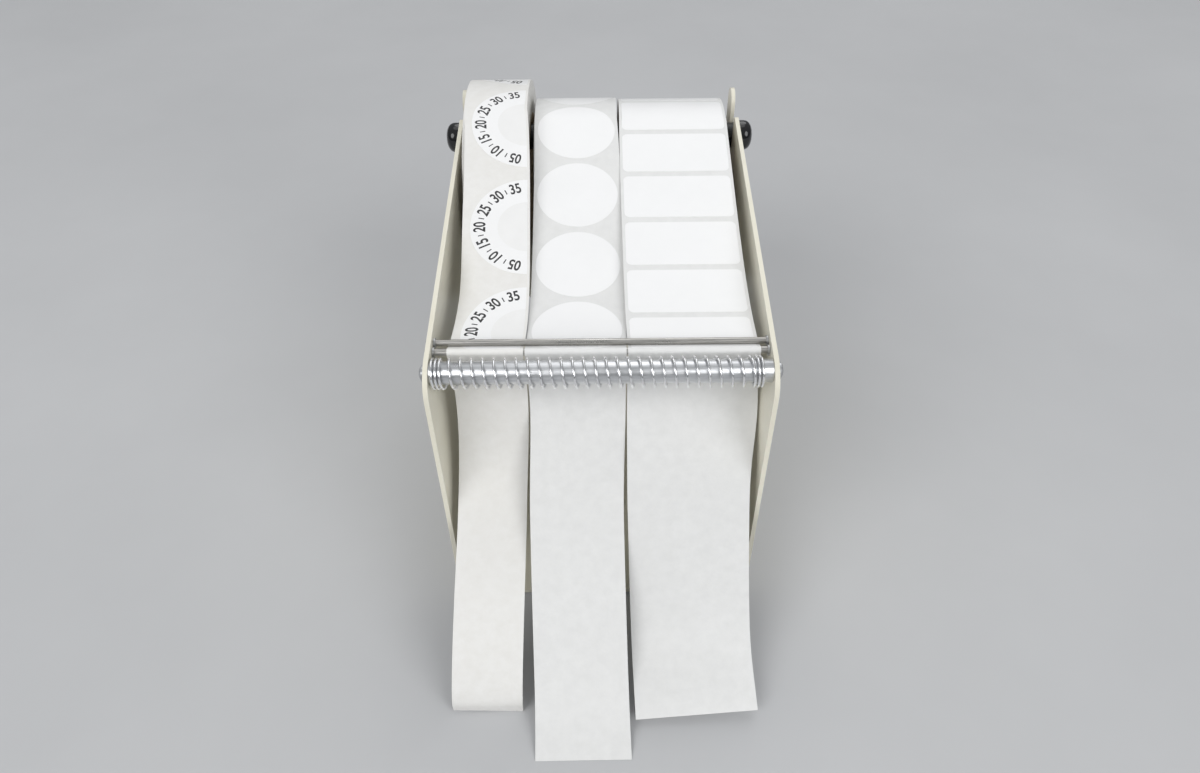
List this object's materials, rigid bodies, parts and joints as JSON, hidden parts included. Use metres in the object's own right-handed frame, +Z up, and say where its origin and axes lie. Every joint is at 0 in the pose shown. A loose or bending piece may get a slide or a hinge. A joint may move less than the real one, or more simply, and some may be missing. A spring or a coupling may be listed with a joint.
{
  "type": "label dispenser",
  "caption": "Bench-top pull-liner label dispenser: bent sheet frame, drop-in axle with loaded label rolls, hold-down and peel rods, and a sprung front bar over hanging liners.",
  "frame": {"origin": "on the bench, below the middle of the whole object, tails of the liners included", "axes": "+X to the operator's right, +Y from the operator to the rear, +Z up"},
  "size_m": [0.159, 0.315, 0.1848],
  "materials": {
    "cream_paint": "satin cream enamel on sheet steel",
    "foot_rubber": "matt",
    "bar_aluminium": "bright drawn",
    "spring_steel": "bright zinc plated wire",
    "screw_steel": "zinc plated",
    "rod_steel": "centreless ground",
    "ring_steel": "stamped spring steel",
    "axle_black": "satin black",
    "knob_black": "glossy black",
    "core_board": "spiral wound board",
    "wound_stock": "wound label stock",
    "liner_paper": "silicone coated liner",
    "label_paper": "white label face"
  },
  "bodies": {
    "stand": {"frame": "cream_paint", "rubber_feet": "foot_rubber", "spring_bar": "bar_aluminium", "left_bar_screw": "screw_steel", "right_bar_screw": "screw_steel", "left_liner": "liner_paper", "middle_liner": "liner_paper", "right_liner": "liner_paper", "left_labels": "label_paper", "middle_labels": "label_paper", "right_labels": "label_paper"},
    "spring_coil": {"bar_spring": "spring_steel"},
    "hold_down": {"hold_down_rod": "rod_steel", "hold_down_rings": "ring_steel"},
    "peel": {"peel_rod": "rod_steel", "peel_rings": "ring_steel"},
    "axle": {"roll_axle": "axle_black", "left_knob": "knob_black", "right_knob": "knob_black"},
    "left_reel": {"left_core": "core_board", "left_roll": "wound_stock"},
    "middle_reel": {"middle_core": "core_board", "middle_roll": "wound_stock"},
    "right_reel": {"right_core": "core_board", "right_roll": "wound_stock"}
  },
  "joints": [
    {"name": "spring_turn", "type": "hinge", "parent": "stand", "child": "spring_coil", "pos_m": [0, -0.06402, 0.1387], "axis": [1, 0, 0], "continuous": true},
    {"name": "hold_down_turn", "type": "hinge", "parent": "stand", "child": "hold_down", "pos_m": [0, -0.04919, 0.14249], "axis": [1, 0, 0], "continuous": true},
    {"name": "peel_turn", "type": "hinge", "parent": "stand", "child": "peel", "pos_m": [0, -0.05397, 0.14139], "axis": [1, 0, 0], "continuous": true},
    {"name": "axle_lift", "type": "slide", "parent": "stand", "child": "axle", "axis": [0, 0, 1], "range_m": [0, 0.04], "deforming": ["left_liner", "middle_liner", "right_liner", "left_labels", "middle_labels", "right_labels"]},
    {"name": "left_roll_turn", "type": "hinge", "parent": "axle", "child": "left_reel", "pos_m": [0, 0.09997, 0.12735], "axis": [1, 0, 0], "continuous": true},
    {"name": "middle_roll_turn", "type": "hinge", "parent": "axle", "child": "middle_reel", "pos_m": [0, 0.09997, 0.12735], "axis": [1, 0, 0], "continuous": true},
    {"name": "right_roll_turn", "type": "hinge", "parent": "axle", "child": "right_reel", "pos_m": [0, 0.09997, 0.12735], "axis": [1, 0, 0], "continuous": true}
  ]
}
